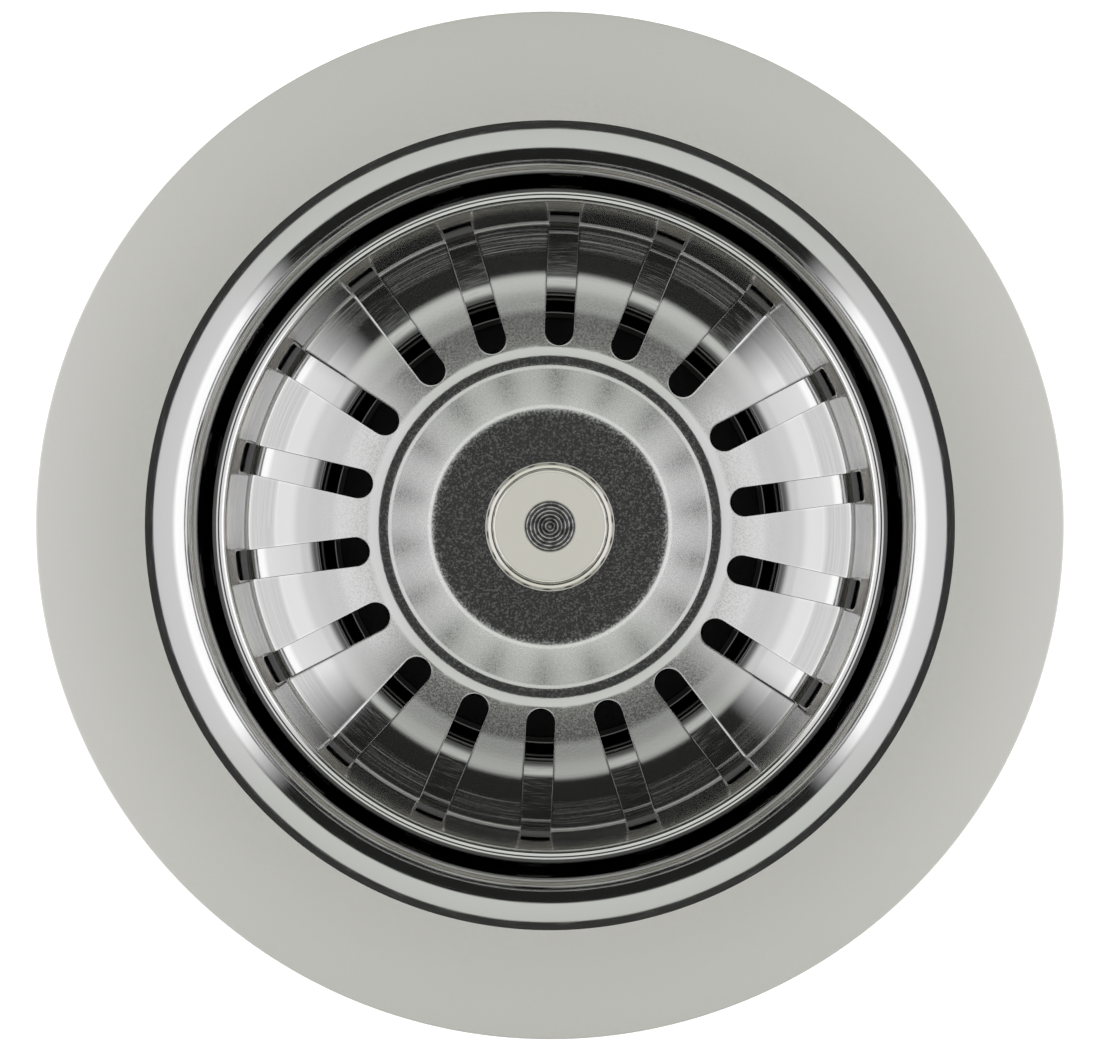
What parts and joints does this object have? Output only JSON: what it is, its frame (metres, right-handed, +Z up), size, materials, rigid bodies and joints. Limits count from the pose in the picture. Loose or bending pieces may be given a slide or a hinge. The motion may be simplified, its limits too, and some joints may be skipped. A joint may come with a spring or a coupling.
{
  "type": "basket strainer waste",
  "caption": "Round kitchen sink waste: flanged bowl, lift-out slotted strainer basket with knob and rubber seal, gaskets, central screw and moulded body with a threaded outlet.",
  "frame": {"origin": "centre of the outlet's lower end, on the surface that the waste stands on", "axes": "+Z up along the waste's axis, from the outlet to the flange; +Y towards the top of the picture"},
  "size_m": [0.114, 0.114, 0.0718],
  "materials": {
    "bowl_steel": "satin flange, polished bowl",
    "basket_steel": "mirror polished",
    "knob_steel": "fine turned",
    "turned_steel": "turned",
    "washer_steel": "rolled sheet",
    "spring_steel": "smooth",
    "screw_steel": "turned",
    "insert_brass": "turned",
    "body_plastic": "fine moulded grain",
    "gasket_rubber": "matt",
    "seal_rubber": "matt"
  },
  "bodies": {
    "waste": {"flange_bowl": "bowl_steel", "rim_gasket": "gasket_rubber", "body_gasket": "gasket_rubber", "waste_body": "body_plastic", "body_hub": "body_plastic", "outlet_tail": "body_plastic", "insert_nut": "insert_brass", "screw_washer": "washer_steel", "fixing_screw": "screw_steel"},
    "catch": {"catch_ring": "spring_steel"},
    "basket": {"strainer_basket": "basket_steel", "knob": "knob_steel", "stem": "turned_steel", "seal_retainer": "washer_steel", "basket_seal": "seal_rubber"}
  },
  "joints": [
    {"name": "basket_lift", "type": "slide", "parent": "waste", "child": "catch", "axis": [0, 0, 1], "range_m": [0, 0.05]},
    {"name": "basket_turn", "type": "hinge", "parent": "catch", "child": "basket", "pos_m": [0, 0, 0.0368], "axis": [0, 0, 1], "continuous": true}
  ]
}
